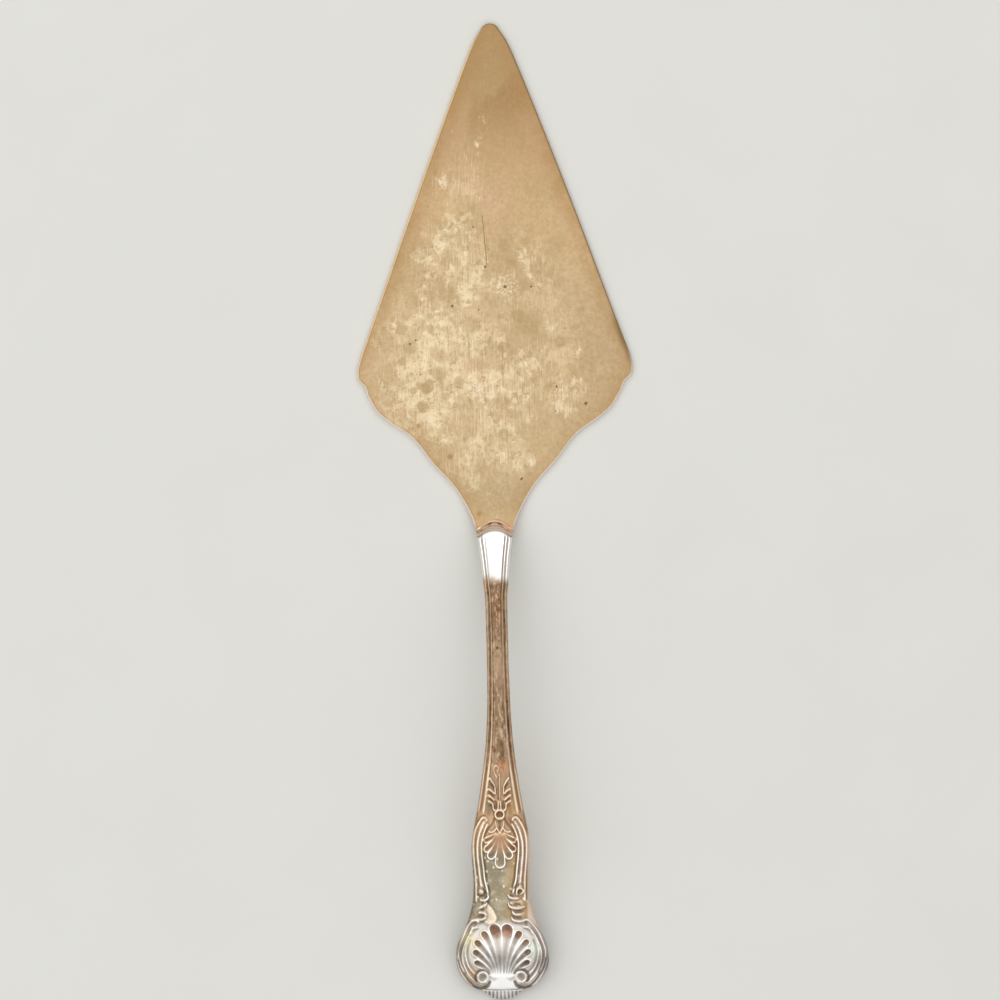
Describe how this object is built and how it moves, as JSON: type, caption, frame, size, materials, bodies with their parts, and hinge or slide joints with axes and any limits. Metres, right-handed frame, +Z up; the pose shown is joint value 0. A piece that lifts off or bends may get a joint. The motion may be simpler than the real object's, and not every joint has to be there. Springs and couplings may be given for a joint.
{
  "type": "cake server",
  "caption": "Flat pointed blade with stepped, swept shoulders on a slim arched hollow handle with thread edges and a scallop-shell end, for cutting and lifting slices of cake.",
  "frame": {"origin": "centre of the server's footprint on the table, midway between tip and foot", "axes": "+Y along the server towards the blade's tip, +X to the right seen from above, +Z up from the table through the blade's face"},
  "size_m": [0.074, 0.262, 0.0195],
  "materials": {
    "blade_plate": "silver plate toned to a warm champagne, scratched and spotted",
    "front_plate": "struck silver plate, brown tarnish in the hollows, bright on the ridges",
    "back_plate": "struck silver plate, lightly tarnished",
    "filler": "dull dark resin",
    "seam_metal": "dressed hard solder under plate",
    "solder_metal": "dull solder with brown tarnish"
  },
  "bodies": {
    "root": {"blade": "blade_plate", "handle_front": "front_plate", "handle_back": "back_plate", "handle_filler": "filler", "seam_solder": "seam_metal", "shoulder_solder": "solder_metal"}
  },
  "joints": []
}
